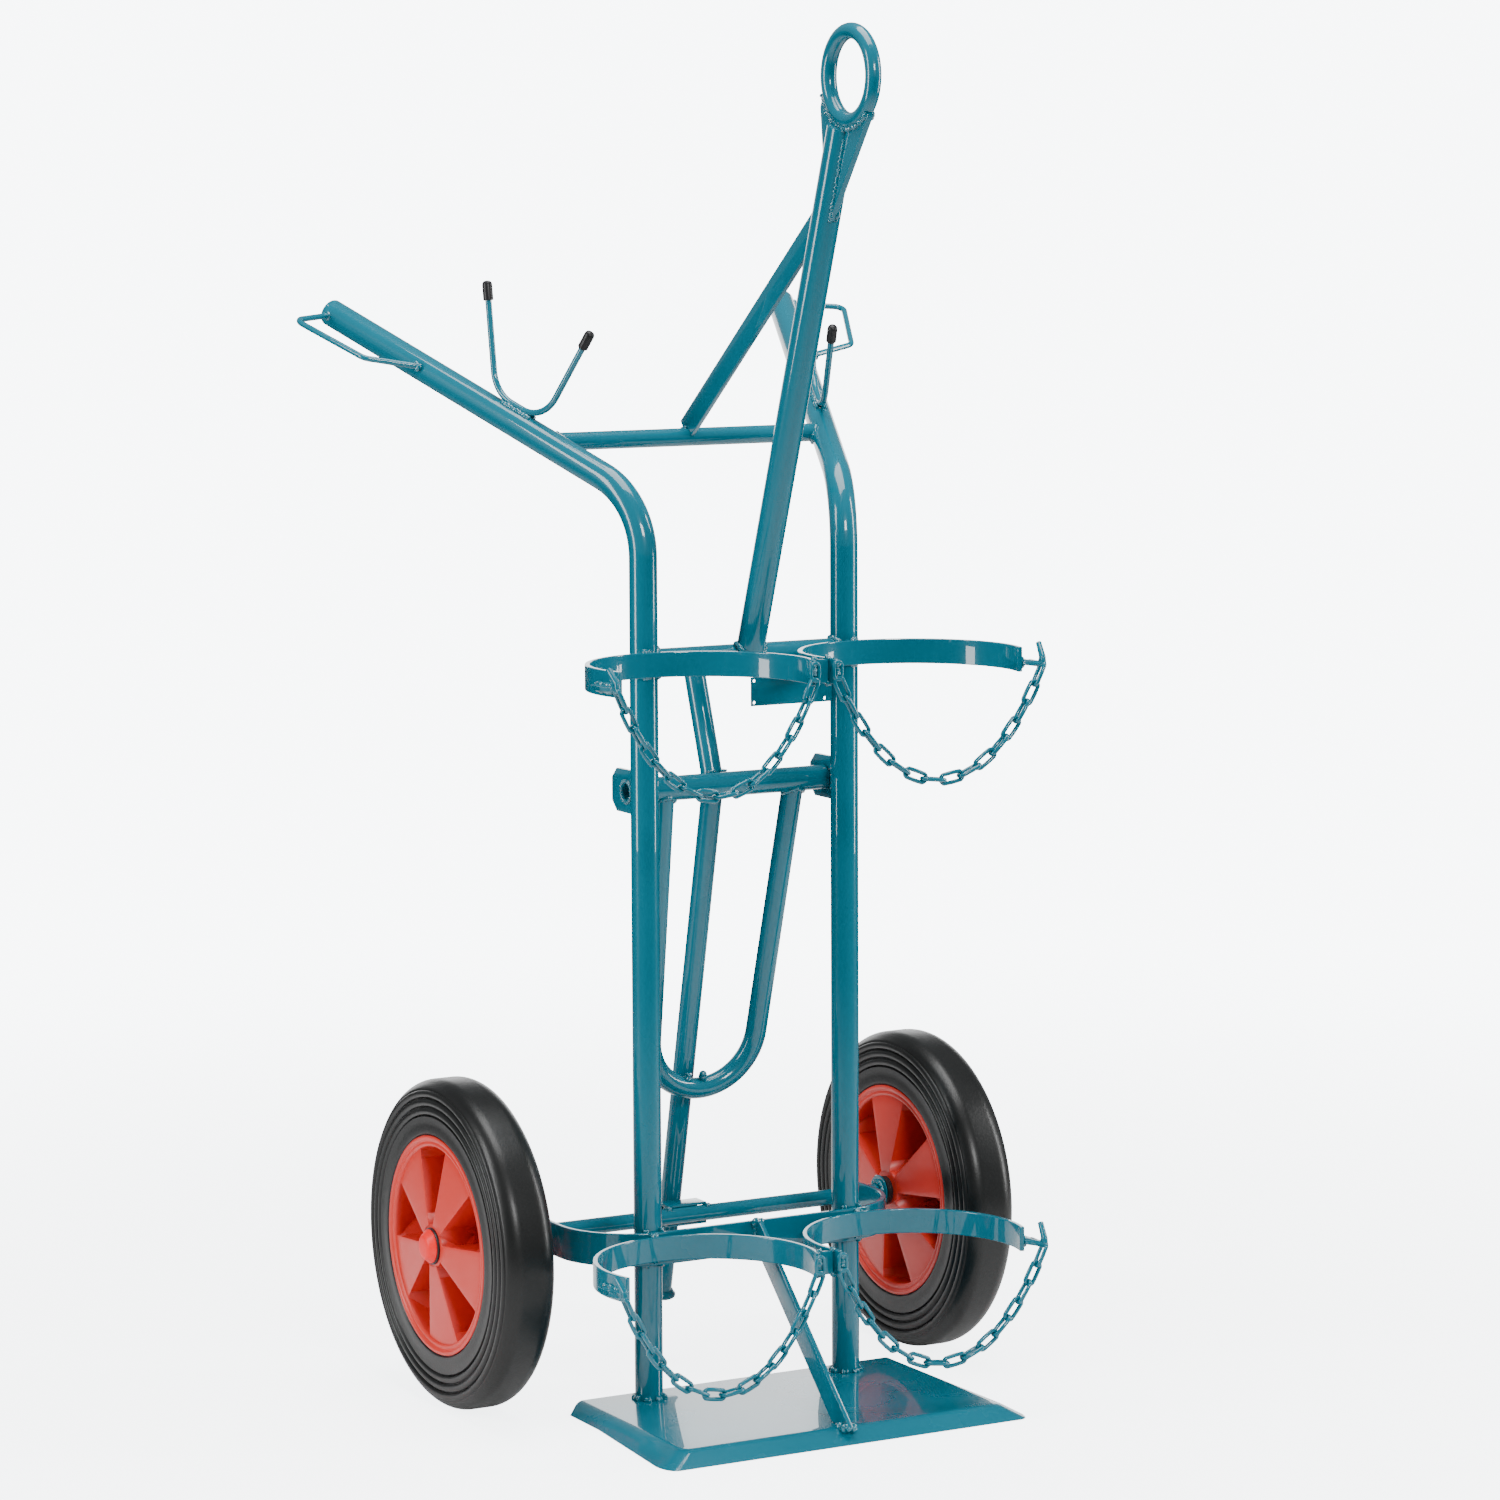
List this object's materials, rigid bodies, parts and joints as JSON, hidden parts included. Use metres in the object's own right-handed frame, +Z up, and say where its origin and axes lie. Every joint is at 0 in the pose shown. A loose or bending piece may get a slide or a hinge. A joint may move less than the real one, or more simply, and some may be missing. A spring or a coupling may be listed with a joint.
{
  "type": "oxy acetylene torch cart",
  "caption": "Two-wheeled welded tube trolley that holds two gas bottles in open chained cradles, with hose hooks, a lifting eye and a swinging support leg.",
  "frame": {"origin": "on the floor under the middle of the overall width and depth", "axes": "+Z up, the bottles stand at the front towards -Y, +X is the right-hand side seen from the front"},
  "size_m": [0.7732, 0.8024, 1.65],
  "materials": {
    "blue_paint": "high gloss powder coat over welded steel",
    "red_plastic": "moulded, satin to gloss",
    "tyre": "solid black rubber, slightly shiny",
    "black_plastic": "moulded bush",
    "soft_cap": "dipped soft vinyl cap, glossy"
  },
  "bodies": {
    "frame": {"axle": "blue_paint", "axle_bow": "blue_paint", "handle_cross_tube": "blue_paint", "left_axle_washer": "blue_paint", "left_hand_guard": "blue_paint", "left_handle_plug": "blue_paint", "left_hose_hook": "blue_paint", "left_hose_hook_front_cap": "soft_cap", "left_hose_hook_rear_cap": "soft_cap", "left_pivot_plate": "blue_paint", "left_upright": "blue_paint", "leg_stop": "blue_paint", "lifting_ring": "blue_paint", "lower_cradle_spacer": "blue_paint", "lower_left_chain_eye": "blue_paint", "lower_left_chain_hook": "blue_paint", "lower_left_cradle_band": "blue_paint", "lower_right_chain_eye": "blue_paint", "lower_right_chain_hook": "blue_paint", "lower_right_cradle_band": "blue_paint", "mast": "blue_paint", "mast_brace": "blue_paint", "mast_top_plate": "blue_paint", "name_plate": "blue_paint", "pivot_tube": "blue_paint", "right_axle_washer": "blue_paint", "right_hand_guard": "blue_paint", "right_handle_plug": "blue_paint", "right_hose_hook": "blue_paint", "right_hose_hook_front_cap": "soft_cap", "right_hose_hook_rear_cap": "soft_cap", "right_pivot_plate": "blue_paint", "right_upright": "blue_paint", "toe_brace": "blue_paint", "toe_plate": "blue_paint", "upper_cradle_spacer": "blue_paint", "upper_cross_tube": "blue_paint", "upper_left_chain_eye": "blue_paint", "upper_left_chain_hook": "blue_paint", "upper_left_cradle_band": "blue_paint", "upper_right_chain_eye": "blue_paint", "upper_right_chain_hook": "blue_paint", "upper_right_cradle_band": "blue_paint"},
    "left_wheel": {"left_tyre": "tyre", "left_rim": "red_plastic", "left_hub_bush": "black_plastic", "left_hub_cap": "red_plastic"},
    "right_wheel": {"right_tyre": "tyre", "right_rim": "red_plastic", "right_hub_bush": "black_plastic", "right_hub_cap": "red_plastic"},
    "support_leg": {"leg_foot": "blue_paint", "leg_loop": "blue_paint", "leg_sleeve": "blue_paint", "leg_tube": "blue_paint"},
    "upper_left_chain": {"upper_left_chain": "blue_paint"},
    "upper_right_chain": {"upper_right_chain": "blue_paint"},
    "lower_left_chain": {"lower_left_chain": "blue_paint"},
    "lower_right_chain": {"lower_right_chain": "blue_paint"}
  },
  "joints": [
    {"name": "left_wheel_spin", "type": "hinge", "parent": "frame", "child": "left_wheel", "pos_m": [-0.317, 0.05716, 0.2], "axis": [1, 0, 0], "continuous": true},
    {"name": "right_wheel_spin", "type": "hinge", "parent": "frame", "child": "right_wheel", "pos_m": [0.317, 0.05716, 0.2], "axis": [1, 0, 0], "continuous": true},
    {"name": "support_leg_swing", "type": "hinge", "parent": "frame", "child": "support_leg", "pos_m": [0, -0.04524, 0.748], "axis": [1, 0, 0], "range_deg": [0, 31.5]},
    {"name": "upper_left_chain_swing", "type": "hinge", "parent": "frame", "child": "upper_left_chain", "pos_m": [-0.2839, -0.30154, 0.9005], "axis": [0.9973, 0.0713, -0.0186], "range_deg": [-35, 10]},
    {"name": "upper_right_chain_swing", "type": "hinge", "parent": "frame", "child": "upper_right_chain", "pos_m": [0.0152, -0.28234, 0.8955], "axis": [0.9973, -0.0713, 0.0186], "range_deg": [-35, 10]},
    {"name": "lower_left_chain_swing", "type": "hinge", "parent": "frame", "child": "lower_left_chain", "pos_m": [-0.2839, -0.30904, 0.2005], "axis": [0.9973, 0.0713, -0.0186], "range_deg": [-35, 10]},
    {"name": "lower_right_chain_swing", "type": "hinge", "parent": "frame", "child": "lower_right_chain", "pos_m": [0.0152, -0.28984, 0.1955], "axis": [0.9973, -0.0713, 0.0186], "range_deg": [-35, 10]}
  ]
}
